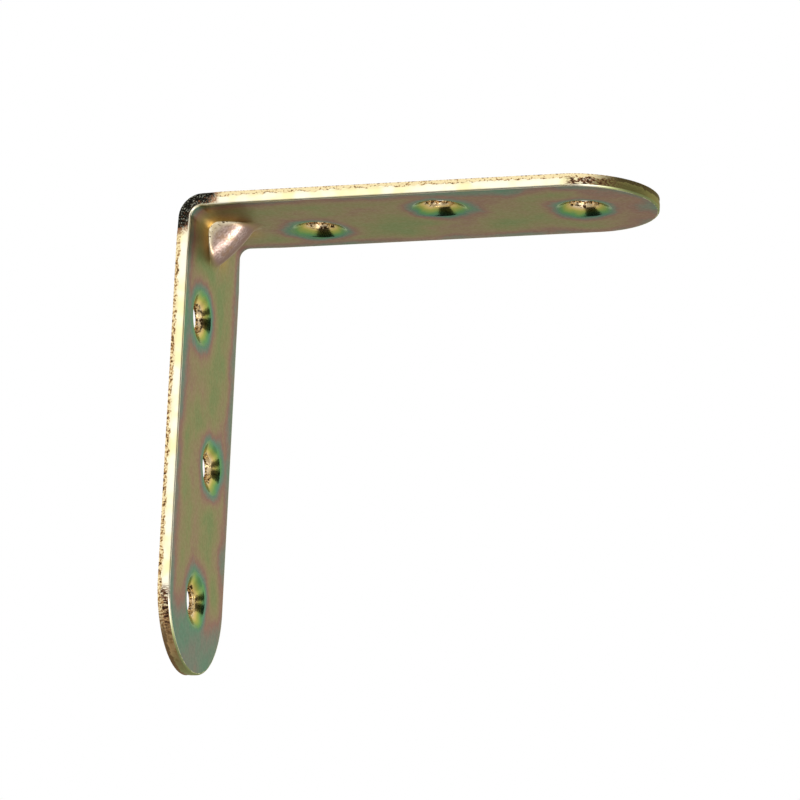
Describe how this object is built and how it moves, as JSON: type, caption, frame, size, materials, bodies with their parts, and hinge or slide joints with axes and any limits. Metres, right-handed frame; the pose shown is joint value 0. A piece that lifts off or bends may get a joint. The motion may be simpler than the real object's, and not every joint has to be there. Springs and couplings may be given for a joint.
{
  "type": "corner brace bracket",
  "caption": "Right-angle corner brace folded from one strip of steel, with round ends, staggered countersunk screw holes and a gusset pressed into the corner.",
  "frame": {"origin": "where the planes of the two outer faces meet, in the middle of the strip's width", "axes": "the shelf leg runs along +X with its outer face towards +Z, the wall leg runs along -Z with its outer face towards -X, and the strip's width lies along Y"},
  "size_m": [0.075, 0.025, 0.075],
  "materials": {
    "yellow_zinc": "zinc plated and yellow passivated, with a soft green, pink and teal bloom"
  },
  "bodies": {
    "root": {"bracket": "yellow_zinc"}
  },
  "joints": []
}
